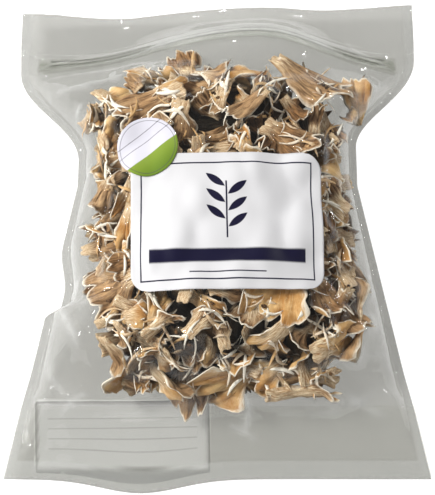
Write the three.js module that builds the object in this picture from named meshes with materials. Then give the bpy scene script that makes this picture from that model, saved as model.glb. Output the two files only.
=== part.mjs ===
// A clear stand-up zip pouch full of dried maitake, lying on its back on a table.
// Millimetres. +X runs across the pouch, +Y from its bottom edge to its zip, +Z up.
// The origin is on the table, under the middle of the pouch.
import * as THREE from "three";

const { clamp, lerp, smoothstep, degToRad } = THREE.MathUtils;

// The pouch as it lies
const POUCH_WIDTH = 220;
const BOTTOM_Y = -127;
const TOP_Y = 134;
const FILM = 0.6;
const SEAL_GAP = 1.5; // between the middles of two films that lie together
const FIN_START = 0.95; // the side seals begin at this share of the half width

// How the full pouch draws in at its waist
const PINCH = 36.5;
const PINCH_RUN = 150; // the sides draw in evenly over this length from the bottom edge
const WAIST_Y = 40;
const SHOULDER_Y = 97; // the sides are straight again from here
const WAIST_SLANT = 3.5; // the right side draws in this much higher than the left
const TUCK = 7; // the left seal is folded under here
const TUCK_Y = -42;

// How high the films stand
const SEAM_LOW = 2;
const SEAM_RISE = 27;
const HEADER_LIFT = 13;
const CREST = 75;
const CREST_DROP = 0.78;
const RISE = [-128, -48]; // the front film climbs over this stretch,
const FALL = [52, 132]; // sinks over this one
const HEADER = [70, 105]; // and here turns from a full dome to the header's arch
const MEET = [62, 95]; // the back film climbs to the front film
const SEAM_LIFT = [50, 115]; // the header's seals rise
const LOW_END = [-94, -70]; // the bottom end comes down to the table
const LOW_END_LIFT = 3.5; // the bottom end curls up off the table
const REST_HALF = 0.42; // share of the half width that lies flat on the table
const HUMP = 0.2; // the header arches up right of the middle
const ARCH = 8;
const ARCH_START = 78;
const BULGE = 7; // the bottom edge bows out left of the middle
const BULGE_ACROSS = -0.36;
const BULGE_SPREAD = 0.26;
const BULGE_END = -100;
const TOP_SLANT = 5.5; // the top edge is lower on the left
const SLANT_START = 100;

// Bottom gusset, folded up between the two films
const FOLD_Y = -90;
const GUSSET_ROOM = 3.2;
const FOLD_RISE = 4.5;

// Zip
const ZIP_Y = 95;
const ZIP_ROOM = 6.4;
const ZIP_HALF = 4.5;
const ZIP_BASE = 0.7;
const ZIP_RIB = 0.9;
const ZIP_SLOT = 0.5;
const RIB_HALF = 0.5;
const RIB_WALL = 0.8;

// Labels
const PAPER = 0.6;
const LABEL = { x: 4.5, y: -6.5, width: 92, height: 67, corner: 9, turn: 1 };
const STICKER = { x: -34, y: 31, radius: 15 };
const BACK_LABEL = { x: -49, y: -105, width: 90, height: 36, corner: 0.5, turn: 1 };
const LABEL_LIFT = 1.25;
const STICKER_LIFT = 2.4;

// Dried maitake
const SAMPLE_STEP = 4.5;
const COVER = 0.9; // air kept round every piece
const STALK_LIKE = 0.55; // pieces with more stalk than this have two lobes and pale flesh
const CORE = 5; // the first fillers, which fill the middle
const FILLER_TRIES = 48;
const FILLER_SPOTS = 140;
const MOST_PIECES = 60;
const HEAP = { left: -50, right: 58, bottom: -72, top: 78 };

// Fronds that show: [x, y, heading in degrees, length, width, share of stalk, 1 for cap up or -1].
const FRONDS = [
  [42, 70, 330, 46, 36, 0.2, 1],
  [29, -46, 250, 40, 36, 0.15, -1],
  [-34, -70, 255, 43, 34, 0.2, -1],
  [-4, -80, 215, 40, 32, 0.3, -1],
  [-43, 56, 205, 43, 27, 0.35, 1],
  [45, 38, 330, 33, 32, 0.2, 1],
  [-53, -36, 200, 33, 32, 0.2, 1],
  [-57, 42, 265, 27, 11, 0.8, 1],
  [-22, 76, 100, 24, 18, 0.3, 1],
  [-6, 77, 160, 33, 24, 0.3, 1],
  [9, 79, 60, 27, 22, 0.3, 1],
  [-19, 57, 120, 32, 24, 0.3, 1],
  [-8, 49, 10, 29, 15, 0.8, 1],
  [1, 43, 60, 27, 20, 0.3, -1],
  [-14, 37, 190, 33, 17, 0.6, 1],
  [11, 68, 150, 38, 16, 0.75, -1],
  [37, 57, 250, 38, 24, 0.3, -1],
  [20, 44, 270, 33, 27, 0.3, -1],
  [33, 50, 230, 29, 22, 0.3, 1],
  [-44, 17, 250, 27, 13, 0.6, -1],
  [-46, 5, 220, 24, 24, 0.15, 1],
  [-51, -15, 160, 29, 22, 0.3, -1],
  [-53, -23, 190, 27, 18, 0.7, 1],
  [-44, -49, 180, 38, 12, 0.8, 1],
  [-20, -77, 270, 32, 24, 0.3, 1],
  [-15, -57, 325, 45, 20, 0.5, -1],
  [8, -60, 270, 46, 10, 0.85, 1],
  [-6, -45, 300, 33, 27, 0.3, 1],
  [1, -50, 235, 29, 10, 0.8, -1],
  [14, -54, 280, 35, 22, 0.35, 1],
  [46, -45, 300, 29, 24, 0.3, 1],
  [56, -27, 300, 29, 22, 0.3, 1],
  [57, -53, 30, 29, 20, 0.5, -1],
  [31, -62, 200, 33, 24, 0.3, 1],
  [50, -66, 320, 24, 16, 0.4, -1],
  [36, -79, 0, 40, 14, 0.8, 1],
];
// A frond that has no room at its place is tried this far to the side of it.
const NUDGES = [
  [0, 0], [3, 0], [-3, 0], [0, 3], [0, -3], [5, 5], [-5, 5],
  [5, -5], [-5, -5], [9, 0], [-9, 0], [0, 9], [0, -9],
];

const COLUMNS = [-1, -FIN_START, -0.88, -0.79, -0.68, -0.56, -0.42, -0.28, -0.14, 0];
const ACROSS = [...COLUMNS, ...COLUMNS.slice(0, -1).reverse().map((s) => -s)];
const ALONG = [
  BOTTOM_Y, -117, -106, -95, -84, -72, -58, -46, -40, -30, -16, -2, 12, 26, WAIST_Y,
  50, 60, 70, 78, ZIP_Y - 12, ZIP_Y - 5, ZIP_Y, ZIP_Y + 5, ZIP_Y + 12, 120, TOP_Y,
];

function pinch(y, side) {
  const drawn = clamp((y - BOTTOM_Y) / PINCH_RUN, 0, 1);
  const slant = WAIST_SLANT * side;
  return drawn * (1 - smoothstep(y, WAIST_Y + slant, SHOULDER_Y + slant));
}

function sideHalf(y, side) {
  const folded = smoothstep(y, TUCK_Y - 3, TUCK_Y + 3) * (1 - smoothstep(y, TUCK_Y + 8, TUCK_Y + 34));
  return POUCH_WIDTH / 2 - PINCH * pinch(y, side) - (side < 0 ? TUCK * folded : 0);
}

// The header's arch: 0 at the side seals, 1 a little right of the middle.
function arch(across) {
  const run = across > HUMP ? FIN_START - HUMP : FIN_START + HUMP;
  return Math.cos((Math.PI / 2) * clamp((across - HUMP) / run, -1, 1)) ** 2;
}

function dome(across, y) {
  const out = Math.min(Math.abs(across) / FIN_START, 1);
  const body = (1 - out ** 3) ** 0.75;
  return lerp(body, arch(across), smoothstep(y, ...HEADER));
}

function crestHeight(y) {
  return CREST * smoothstep(y, ...RISE) * (1 - CREST_DROP * smoothstep(y, ...FALL));
}

function floorHeight(across, y) {
  const seam = SEAM_LOW + SEAM_RISE * pinch(y, 0) + HEADER_LIFT * smoothstep(y, ...SEAM_LIFT);
  const lowEnd = LOW_END_LIFT * (1 - smoothstep(y, ...LOW_END));
  return seam * smoothstep(Math.abs(across), REST_HALF, 0.97) + lowEnd;
}

function filmGap(y) {
  const gusset = 1 - smoothstep(y, FOLD_Y + 2, FOLD_Y + 10);
  const zip = smoothstep(y, ZIP_Y - 12, ZIP_Y - 5) * (1 - smoothstep(y, ZIP_Y + 5, ZIP_Y + 12));
  return SEAL_GAP + GUSSET_ROOM * gusset + ZIP_ROOM * zip;
}

function frontHeight(across, y) {
  return FILM / 2 + floorHeight(across, y) + filmGap(y) + crestHeight(y) * dome(across, y);
}

// The back film lies on the table and climbs to meet the front film at the header.
function backHeight(across, y) {
  const header = frontHeight(across, y) - filmGap(y);
  return lerp(FILM / 2 + floorHeight(across, y), header, smoothstep(y, ...MEET));
}

// A point of a film at a share of the half width and a nominal distance along the pouch.
function filmPoint(height, across, y) {
  const bulge = BULGE * Math.exp(-(((across - BULGE_ACROSS) / BULGE_SPREAD) ** 2));
  const low = bulge * (1 - smoothstep(y, BOTTOM_Y, BULGE_END));
  const header = smoothstep(y, SLANT_START, TOP_Y);
  const slant = (TOP_SLANT * (1 - across) * header) / 2;
  const bow = ARCH * arch(across) * smoothstep(y, ARCH_START, ZIP_Y) * (1 - header);
  const x = across * sideHalf(y, Math.sign(across));
  return new THREE.Vector3(x, y - low - slant + bow, height(across, y));
}

function filmNormal(height, across, y) {
  const step = 0.01;
  const alongX = filmPoint(height, across + step, y).sub(filmPoint(height, across - step, y));
  const alongY = filmPoint(height, across, y + 1).sub(filmPoint(height, across, y - 1));
  return alongX.cross(alongY).normalize();
}

// A closed sheet of the given thickness about a grid of middle points.
function thickSheet(columns, rows, point, thickness) {
  const middle = rows.map((row) => columns.map((column) => point(column, row)));
  const lastRow = rows.length - 1;
  const lastColumn = columns.length - 1;
  const upper = [];
  const lower = [];
  rows.forEach((row, i) =>
    columns.forEach((column, j) => {
      const right = middle[i][Math.min(j + 1, lastColumn)].clone();
      const ahead = middle[Math.min(i + 1, lastRow)][j].clone();
      right.sub(middle[i][Math.max(j - 1, 0)]);
      ahead.sub(middle[Math.max(i - 1, 0)][j]);
      const half = right.cross(ahead).setLength(thickness(column, row) / 2);
      upper.push(middle[i][j].clone().add(half));
      lower.push(middle[i][j].clone().sub(half));
    }),
  );
  const count = upper.length;
  const at = (i, j) => i * columns.length + j;
  const index = [];
  const quad = (a, b, c, d) => index.push(a, b, c, a, c, d);
  for (let i = 0; i < lastRow; i++) {
    for (let j = 0; j < lastColumn; j++) {
      const [a, b, c, d] = [at(i, j), at(i, j + 1), at(i + 1, j + 1), at(i + 1, j)];
      quad(a, b, c, d);
      index.push(a + count, c + count, b + count, a + count, d + count, c + count);
    }
    const [a, d] = [at(i, 0), at(i + 1, 0)];
    const [b, c] = [at(i, lastColumn), at(i + 1, lastColumn)];
    quad(d + count, a + count, a, d);
    quad(b + count, c + count, c, b);
  }
  for (let j = 0; j < lastColumn; j++) {
    const [a, b] = [at(0, j), at(0, j + 1)];
    const [d, c] = [at(lastRow, j), at(lastRow, j + 1)];
    quad(a + count, b + count, b, a);
    quad(c + count, d + count, d, c);
  }
  const geometry = new THREE.BufferGeometry().setFromPoints([...upper, ...lower]);
  geometry.setIndex(index);
  geometry.computeVertexNormals();
  return { geometry, middle };
}

// A row of count + 1 values from one end to the other.
function evenly(count, from, to) {
  return Array.from({ length: count + 1 }, (_, i) => lerp(from, to, i / count));
}

function filmGeometry(height) {
  return thickSheet(ACROSS, ALONG, (s, y) => filmPoint(height, s, y), () => FILM).geometry;
}

// The gusset is one folded sheet: a lower leaf on the back film and an upper leaf under the front film.
function gussetGeometry() {
  const path = [
    [0, 0], [0.3, 0], [0.65, 0], [0.96, 0], [1, 0.5], [0.96, 1], [0.65, 1], [0.3, 1], [0, 1],
  ];
  const leaf = (across, step) => {
    const [share, side] = path[step];
    const y = lerp(BOTTOM_Y + 1, FOLD_Y, share);
    const low = filmPoint(backHeight, across, y);
    const room = filmPoint(frontHeight, across, y).z - low.z;
    const opening = Math.min(room - 2 * SEAL_GAP, FOLD_RISE);
    low.z += SEAL_GAP + side * opening;
    return low;
  };
  return thickSheet(ACROSS, path.map((_, step) => step).reverse(), leaf, () => FILM).geometry;
}

// Sweeps a closed profile along the zip line; profile points are [along the pouch, off the film].
function zipGeometry(profile) {
  const stations = evenly(18, -0.9, 0.9);
  const middleHeight = (across, y) => (frontHeight(across, y) + backHeight(across, y)) / 2;
  const points = stations.flatMap((across) => {
    const centre = filmPoint(middleHeight, across, ZIP_Y);
    const up = filmNormal(middleHeight, across, ZIP_Y);
    const run = filmPoint(middleHeight, across + 0.01, ZIP_Y).sub(centre).normalize();
    const ahead = up.clone().cross(run);
    const corner = ([along, off]) => centre.clone().addScaledVector(ahead, along).addScaledVector(up, off);
    return profile.map(corner);
  });
  const sides = profile.length;
  const index = [];
  for (let i = 0; i + 1 < stations.length; i++) {
    for (let j = 0; j < sides; j++) {
      const a = i * sides + j;
      const b = i * sides + ((j + 1) % sides);
      index.push(a, b, b + sides, a, b + sides, a + sides);
    }
  }
  const outline = profile.map(([along, off]) => new THREE.Vector2(along, off));
  const last = (stations.length - 1) * sides;
  THREE.ShapeUtils.triangulateShape(outline, []).forEach(([a, b, c]) => {
    index.push(a, c, b, last + a, last + b, last + c);
  });
  const geometry = new THREE.BufferGeometry().setFromPoints(points);
  geometry.setIndex(index);
  geometry.computeVertexNormals();
  return geometry;
}

// One rib on the front strip presses into the slot between two ribs on the back strip.
function zipFrontProfile() {
  const face = ZIP_RIB - 0.05;
  const top = face + ZIP_BASE;
  const tip = face - ZIP_RIB;
  return [
    [-ZIP_HALF, face], [-RIB_HALF, face], [-RIB_HALF, tip], [RIB_HALF, tip],
    [RIB_HALF, face], [ZIP_HALF, face], [ZIP_HALF, top], [-ZIP_HALF, top],
  ];
}

function zipBackProfile() {
  const face = 0.05 - ZIP_RIB;
  const base = face - ZIP_BASE;
  const inner = RIB_HALF + ZIP_SLOT;
  const outer = inner + RIB_WALL;
  const top = face + ZIP_RIB;
  return [
    [-ZIP_HALF, base], [ZIP_HALF, base], [ZIP_HALF, face], [outer, face], [outer, top], [inner, top],
    [inner, face], [-inner, face], [-inner, top], [-outer, top], [-outer, face], [-ZIP_HALF, face],
  ];
}

// A point stuck to a film's outside at a plan place.
function onFilm(height, x, y, lift) {
  const across = acrossAt(x, y);
  return filmPoint(height, across, y).addScaledVector(filmNormal(height, across, y), lift);
}

// A round-cornered label: each row is as wide as the outline there.
function labelGeometry(label, height, lift) {
  const bend = evenly(4, 0, Math.PI / 2).map((angle) => label.corner * (1 - Math.sin(angle)));
  const straight = label.height / 2 - label.corner;
  const ends = bend.map((drop) => label.height / 2 - drop);
  const middle = evenly(6, -straight, straight).slice(1, -1);
  const rows = [...ends.map((y) => -y).reverse(), ...middle, ...ends];
  const turn = degToRad(label.turn);
  const place = (share, v) => {
    const past = Math.max(Math.abs(v) - straight, 0);
    const inset = label.corner - Math.sqrt(Math.max(label.corner ** 2 - past ** 2, 0));
    const u = share * (label.width / 2 - inset);
    const x = label.x + u * Math.cos(turn) - v * Math.sin(turn);
    const y = label.y + u * Math.sin(turn) + v * Math.cos(turn);
    return onFilm(height, x, y, lift);
  };
  return thickSheet(evenly(12, -1, 1), rows, place, () => PAPER).geometry;
}

// A round label: a square grid drawn out to a disc.
function stickerGeometry() {
  const place = (u, v) => {
    const x = STICKER.x + STICKER.radius * u * Math.sqrt(1 - (v * v) / 2);
    const y = STICKER.y + STICKER.radius * v * Math.sqrt(1 - (u * u) / 2);
    return onFilm(frontHeight, x, y, STICKER_LIFT);
  };
  return thickSheet(evenly(6, -1, 1), evenly(6, -1, 1), place, () => PAPER).geometry;
}

// Traits of a piece come from even spreads of values between 0 and 1, one spread for each trait.
const SPREADS = [2, 3, 5, 7, 11, 13, 17, 19].map(Math.sqrt);
const draw = (piece, trait, from, to) => lerp(from, to, ((piece + 1) * SPREADS[trait]) % 1);

// A frond torn from the head: a fibrous stalk that flares into a fan of curled lobes.
function frondShape(piece, length, width, stalk) {
  const lobes = stalk > STALK_LIKE ? 2 : 3;
  return {
    length,
    stalk,
    lobes,
    fanHalf: width / 2,
    stalkHalf: lerp(3, 0.36 * width, stalk),
    stalkThick: draw(piece, 0, 4, 5.5),
    rimThick: draw(piece, 1, 1.3, 1.8),
    notch: draw(piece, 2, 0.08, 0.3),
    cup: draw(piece, 3, 0.08, 0.3) * width,
    swell: draw(piece, 4, 1, 3),
    ruffle: draw(piece, 5, 0.4, 1.8),
    curl: draw(piece, 6, 0.25, 0.95),
    twist: draw(piece, 7, -0.6, 0.6),
  };
}

// From the stalk's foot (along 0) to the rim (along 1), and from edge to edge (across -1 to 1).
function frondPoint(frond, across, along) {
  const crest = Math.abs(Math.sin((Math.PI * frond.lobes * (across + 1)) / 2));
  const flare = smoothstep(along, frond.stalk * 0.6, 1);
  const rim = frond.length * (1 - 0.15 * across * across - frond.notch * (1 - crest));
  const run = along * lerp(0.88 * frond.length, rim, flare);
  const side = across * lerp(frond.stalkHalf, frond.fanHalf, flare);
  const lift = flare * (frond.swell * crest - frond.cup * across * across)
    + frond.ruffle * along * along * Math.sin(4 * across + 7 * frond.twist);
  const turn = frond.twist * along;
  const x = side * Math.cos(turn) + lift * Math.sin(turn);
  const off = lift * Math.cos(turn) - side * Math.sin(turn);
  const bend = (frond.curl * run) / frond.length - frond.curl / 2;
  const radius = frond.length / frond.curl;
  return new THREE.Vector3(x, (radius - off) * Math.sin(bend), radius - (radius - off) * Math.cos(bend));
}

function frondThickness(frond, across, along) {
  const flare = smoothstep(along, frond.stalk * 0.6, 1);
  return lerp(frond.stalkThick * Math.sqrt(1 - 0.75 * across * across), frond.rimThick, flare);
}

// The frond's solid, and the balls that stand for it while the heap is laid.
function makeFrond(frond) {
  const columns = evenly(2 * frond.lobes, -1, 1);
  const rows = [0, 0.22, 0.44, 0.64, 0.83, 1];
  const point = (across, along) => frondPoint(frond, across, along);
  const { geometry, middle } = thickSheet(columns, rows, point, (s, t) => frondThickness(frond, s, t));
  const balls = [];
  for (let i = 0; i + 1 < rows.length; i++) {
    for (let j = 0; j + 1 < columns.length; j++) {
      const [a, b, c, d] = [middle[i][j], middle[i][j + 1], middle[i + 1][j + 1], middle[i + 1][j]];
      const wide = Math.ceil(Math.max(a.distanceTo(b), d.distanceTo(c)) / SAMPLE_STEP);
      const long = Math.ceil(Math.max(a.distanceTo(d), b.distanceTo(c)) / SAMPLE_STEP);
      for (let k = 0; k < (wide + 1) * (long + 1); k++) {
        const u = (k % (wide + 1)) / wide;
        const v = Math.floor(k / (wide + 1)) / long;
        const near = a.clone().lerp(b, u);
        const far = d.clone().lerp(c, u);
        const across = lerp(columns[j], columns[j + 1], u);
        const along = lerp(rows[i], rows[i + 1], v);
        balls.push({ at: near.lerp(far, v), radius: frondThickness(frond, across, along) / 2 });
      }
    }
  }
  return { geometry, balls };
}

// The pieces laid so far, as balls sorted into square cells of the plan.
const CELL = 8;
const heap = new Map();
const cellKey = (x, y) => `${Math.floor(x / CELL)} ${Math.floor(y / CELL)}`;

function addToHeap(balls) {
  for (const ball of balls) {
    const key = cellKey(ball.at.x, ball.at.y);
    heap.set(key, [...(heap.get(key) ?? []), ball]);
  }
}

function ballsNear(x, y) {
  const steps = [-CELL, 0, CELL];
  return steps.flatMap((dx) => steps.flatMap((dy) => heap.get(cellKey(x + dx, y + dy)) ?? []));
}

const acrossAt = (x, y) => x / sideHalf(y, Math.sign(x));

// How far up a turned piece goes before it meets the front film or a piece above it.
function pressedHeight(balls, x, y) {
  let height = Infinity;
  for (const { at, radius } of balls) {
    const [px, py] = [at.x + x, at.y + y];
    const across = acrossAt(px, py);
    if (Math.abs(across) > FIN_START) {
      return -Infinity;
    }
    const clear = (radius + FILM + COVER) / filmNormal(frontHeight, across, py).z;
    height = Math.min(height, frontHeight(across, py) - clear - at.z);
    for (const other of ballsNear(px, py)) {
      const reach = radius + other.radius + 2 * COVER;
      const flat = (px - other.at.x) ** 2 + (py - other.at.y) ** 2;
      if (flat < reach * reach) {
        height = Math.min(height, other.at.z - at.z - Math.sqrt(reach * reach - flat));
      }
    }
  }
  return height;
}

// The least room left between a piece and the back film, or the gusset that lies on it.
function roomBelow(balls, x, y, height) {
  let room = Infinity;
  for (const { at, radius } of balls) {
    const [px, py] = [at.x + x, at.y + y];
    const across = acrossAt(px, py);
    const clear = (radius + FILM + COVER) / filmNormal(backHeight, across, py).z;
    const gusset = py < FOLD_Y + 3 ? FOLD_RISE + 2 * SEAL_GAP : 0;
    room = Math.min(room, height + at.z - clear - backHeight(across, py) - gusset);
  }
  return room;
}

// Two ways to choose among the spots where a piece fits.
const deepest = (spot) => spot.room;
const nearestFilm = ({ place }) => place.z - frontHeight(acrossAt(place.x, place.y), place.y);

function lay(piece, quaternion, spots, choose) {
  const turned = ({ at, radius }) => ({ at: at.clone().applyQuaternion(quaternion), radius });
  const balls = piece.balls.map(turned);
  let best = null;
  for (const [x, y] of spots) {
    const height = pressedHeight(balls, x, y);
    const room = height > 0 ? roomBelow(balls, x, y, height) : -1;
    const spot = { room, place: new THREE.Vector3(x, y, height) };
    if (room > 0 && (!best || choose(spot) > choose(best))) {
      best = spot;
    }
  }
  if (best) {
    addToHeap(balls.map(({ at, radius }) => ({ at: at.add(best.place), radius })));
  }
  return best ? best.place : null;
}

const pouch = new THREE.Group();

function addMesh(name, geometry, material) {
  const mesh = new THREE.Mesh(geometry, material);
  mesh.name = name;
  pouch.add(mesh);
  return mesh;
}

function finish(color, roughness, extra) {
  return new THREE.MeshStandardMaterial({ color, roughness, metalness: 0, ...extra });
}

const clearFilm = finish("#c8cac4", 0.15, { transparent: true, opacity: 0.3 });
const zipFilm = finish("#d2d4ce", 0.25, { transparent: true, opacity: 0.5 });
const labelPaper = finish("#e6e5e3", 0.6);
const stickerPaper = finish("#bdbf9a", 0.5);
const backPaper = finish("#b7b6b0", 0.7);
const capBrown = finish("#8a6b4c", 0.85);
const paleFlesh = finish("#cdb48a", 0.85);

function addPouch() {
  addMesh("front_film", filmGeometry(frontHeight), clearFilm);
  addMesh("back_film", filmGeometry(backHeight), clearFilm);
  addMesh("bottom_gusset", gussetGeometry(), clearFilm);
  addMesh("zip_front_strip", zipGeometry(zipFrontProfile()), zipFilm);
  addMesh("zip_back_strip", zipGeometry(zipBackProfile()), zipFilm);
  addMesh("front_label", labelGeometry(LABEL, frontHeight, LABEL_LIFT), labelPaper);
  addMesh("round_sticker", stickerGeometry(), stickerPaper);
  addMesh("back_label", labelGeometry(BACK_LABEL, backHeight, -LABEL_LIFT), backPaper);
}

function addFrond(name, frond, quaternion, spots, choose, material) {
  const piece = makeFrond(frond);
  const place = lay(piece, quaternion, spots, choose);
  if (place) {
    const mesh = addMesh(name, piece.geometry, material);
    mesh.quaternion.copy(quaternion);
    mesh.position.copy(place);
  }
}

const numbered = (kind, piece) => `${kind}_${String(piece + 1).padStart(2, "0")}`;

// Broad fillers go where the most room is left below, then smaller ones where the film shows a gap.
function addFillers() {
  const spots = evenly(FILLER_SPOTS, 0, FILLER_SPOTS).map((k) => [
    draw(k, 0, HEAP.left, HEAP.right),
    draw(k, 1, HEAP.bottom, HEAP.top),
  ]);
  for (let piece = 0; piece < FILLER_TRIES && pouch.children.length < MOST_PIECES; piece++) {
    const length = lerp(54, 28, piece / FILLER_TRIES);
    const fan = frondShape(piece, length, length * draw(piece, 1, 0.6, 0.9), draw(piece, 2, 0.15, 0.5));
    const roll = draw(piece, 6, -0.3, 0.3) + (piece % 2 ? Math.PI : 0);
    const turn = new THREE.Euler(draw(piece, 5, -0.3, 0.3), roll, draw(piece, 7, 0, 2 * Math.PI), "ZYX");
    const quaternion = new THREE.Quaternion().setFromEuler(turn);
    const choose = piece < CORE ? deepest : nearestFilm;
    addFrond(numbered("filler", piece), fan, quaternion, spots, choose, capBrown);
  }
}

// The fronds that show lie against the front film and are tipped as it slopes.
function addFronds() {
  FRONDS.forEach(([x, y, heading, length, width, stalk, face], piece) => {
    const film = filmNormal(frontHeight, acrossAt(x, y), y);
    const up = new THREE.Vector3(0, 0, 1);
    const quaternion = new THREE.Quaternion().setFromUnitVectors(up, film);
    const roll = draw(piece, 5, -0.25, 0.25) + (face < 0 ? Math.PI : 0);
    const turn = new THREE.Euler(draw(piece, 4, -0.2, 0.2), roll, degToRad(heading - 90), "ZYX");
    quaternion.multiply(new THREE.Quaternion().setFromEuler(turn));
    const spots = NUDGES.map(([dx, dy]) => [x + dx, y + dy]);
    const material = stalk > STALK_LIKE || face < 0 ? paleFlesh : capBrown;
    const fan = frondShape(piece, length, width, stalk);
    addFrond(numbered("frond", piece), fan, quaternion, spots, nearestFilm, material);
  });
}

addPouch();
addFronds();
addFillers();

export default pouch;
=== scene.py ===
# %% [markdown]
# # A clear zip pouch full of dried maitake
# The pouch lies on its back on a pale table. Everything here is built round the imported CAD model,
# which fixes the size and the place of each piece. The lesson goes from the inside out: first the
# mushroom pieces, then the film that drapes over them, then the labels stuck to the film.

# %% Load the frame
import math

import bmesh
import bpy
import numpy as np
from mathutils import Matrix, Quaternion, Vector


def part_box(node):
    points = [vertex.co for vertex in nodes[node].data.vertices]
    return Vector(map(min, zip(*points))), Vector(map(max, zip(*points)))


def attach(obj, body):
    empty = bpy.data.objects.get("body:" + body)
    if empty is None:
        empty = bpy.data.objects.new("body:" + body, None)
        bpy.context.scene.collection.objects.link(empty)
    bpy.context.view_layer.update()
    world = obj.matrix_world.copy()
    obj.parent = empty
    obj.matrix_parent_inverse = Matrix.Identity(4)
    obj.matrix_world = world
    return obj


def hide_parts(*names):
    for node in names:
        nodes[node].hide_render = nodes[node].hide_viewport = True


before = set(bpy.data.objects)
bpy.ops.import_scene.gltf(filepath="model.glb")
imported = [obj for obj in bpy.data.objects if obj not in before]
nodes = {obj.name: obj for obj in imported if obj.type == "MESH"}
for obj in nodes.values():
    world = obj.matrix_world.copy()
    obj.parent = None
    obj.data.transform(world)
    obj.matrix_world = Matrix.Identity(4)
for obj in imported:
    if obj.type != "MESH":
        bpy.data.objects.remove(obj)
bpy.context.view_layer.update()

MM = 0.001

# %% [markdown]
# ## Camera
# The photograph looks almost straight down, 13 degrees off the vertical, from about half a metre.

# %% Camera
VIEW_DISTANCE = 0.520
VIEW_TILT = math.radians(13)
VIEW_TARGET = Vector((0, -0.0033, 0))
PHOTO_HEIGHT = 495
FOCAL_PIXELS = 946
SENSOR = 24

lens_data = bpy.data.cameras.new("photo_camera")
lens_data.sensor_fit = "VERTICAL"
lens_data.sensor_height = SENSOR
lens_data.lens = SENSOR * FOCAL_PIXELS / PHOTO_HEIGHT
camera = bpy.data.objects.new("photo_camera", lens_data)
camera.location = VIEW_TARGET + VIEW_DISTANCE * Vector((0, -math.sin(VIEW_TILT), math.cos(VIEW_TILT)))
camera.rotation_euler = (VIEW_TILT, 0, 0)
scene = bpy.context.scene
scene.collection.objects.link(camera)
scene.camera = camera
print("camera at", tuple(round(c, 3) for c in camera.location), "lens", round(lens_data.lens, 2))

# %% [markdown]
# ## Shader sums
# Materials here are built from nodes. Writing the maths as Python expressions keeps it readable, so
# one small class wraps a socket: adding or multiplying two of them adds a Math node. Every other
# node comes from its `node` method.


# %% A socket that takes part in sums
class Socket:
    def __init__(self, tree, socket=None):
        self.tree = tree
        self.socket = socket

    def node(self, kind, inputs, settings=None, output=0):
        made = self.tree.nodes.new(kind)
        for name, value in (settings or {}).items():
            setattr(made, name, value)
        for name, value in inputs.items():
            if isinstance(value, Socket):
                self.tree.links.new(value.socket, made.inputs[name])
            else:
                made.inputs[name].default_value = value
        return Socket(self.tree, made.outputs[output])

    def math(self, operation, first, second=0.0):
        return self.node("ShaderNodeMath", {0: first, 1: second}, {"operation": operation})

    def __add__(self, other):
        return self.math("ADD", self, other)

    def __sub__(self, other):
        return self.math("SUBTRACT", self, other)

    def __rsub__(self, other):
        return self.math("SUBTRACT", other, self)

    def __mul__(self, other):
        return self.math("MULTIPLY", self, other)

    def __pow__(self, other):
        return self.math("POWER", self, other)

    def __abs__(self):
        return self.math("ABSOLUTE", self)

    __radd__ = __add__
    __rmul__ = __mul__


def step(value, low, high):
    """0 below low, 1 above high and a smooth climb between."""
    settings = {"interpolation_type": "SMOOTHSTEP"}
    return value.node("ShaderNodeMapRange", {0: value, 1: low, 2: high}, settings)


def blend(share, first, second):
    """A colour between two colours."""
    settings = {"data_type": "RGBA", "clamp_factor": True}
    return share.node("ShaderNodeMix", {0: share, 6: first, 7: second}, settings, output=2)


def join(share, first, second):
    """A shader between two shaders."""
    return first.node("ShaderNodeMixShader", {0: share, 1: first, 2: second})


def color(red, green, blue):
    """An sRGB colour in 0 to 255, as the linear values that shaders take."""
    parts = [c / 255 for c in (red, green, blue)]
    return tuple(c / 12.92 if c <= 0.04045 else ((c + 0.055) / 1.055) ** 2.4 for c in parts)


def opaque(rgb):
    return (*rgb, 1)


def new_material(name):
    material = bpy.data.materials.new(name)
    material.use_nodes = True
    material.node_tree.nodes.clear()
    return material, Socket(material.node_tree)


def set_surface(material, shader):
    output = material.node_tree.nodes.new("ShaderNodeOutputMaterial")
    material.node_tree.links.new(shader.socket, output.inputs["Surface"])


def attribute(tree, name):
    settings = {"attribute_name": name, "attribute_type": "GEOMETRY"}
    return tree.node("ShaderNodeAttribute", {}, settings, output=2)


def vector(x, y, z):
    source = next(part for part in (x, y, z) if isinstance(part, Socket))
    return source.node("ShaderNodeCombineXYZ", {0: x, 1: y, 2: z})


def noise(place, scale, detail, roughness):
    return place.node("ShaderNodeTexNoise", {"Vector": place, "Scale": scale, "Detail": detail,
                                             "Roughness": roughness})


def bump(height, strength, distance):
    return height.node("ShaderNodeBump", {"Height": height, "Strength": strength, "Distance": distance})


# %% [markdown]
# ## The form of the pouch
# The CAD films follow one formula: a half width that draws in at the waist, a dome over the heap and
# a header that arches. The same formula in numpy lets the fine film start exactly on the CAD film.
# All lengths below are in millimetres, and points become metres only when they reach a mesh.

# %% Outline and heights of the films
BOTTOM_Y, TOP_Y = -127, 134
FILM = 0.6
SEAL_GAP = 1.5
FIN_START = 0.95
WAIST_Y, SHOULDER_Y = 40, 97
HUMP = 0.2
FOLD_Y = -90
ZIP_Y = 95


def smoothstep(x, low, high):
    t = np.clip((x - low) / (high - low), 0, 1)
    return t * t * (3 - 2 * t)


def lerp(a, b, t):
    return a + (b - a) * t


def pinch(y, side):
    drawn = np.clip((y - BOTTOM_Y) / 150, 0, 1)
    return drawn * (1 - smoothstep(y, WAIST_Y + 3.5 * side, SHOULDER_Y + 3.5 * side))


def side_half(y, side):
    tuck = 7 * smoothstep(y, -45, -39) * (1 - smoothstep(y, -34, -8))
    return 110 - 36.5 * pinch(y, side) - np.where(side < 0, tuck, 0)


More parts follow.
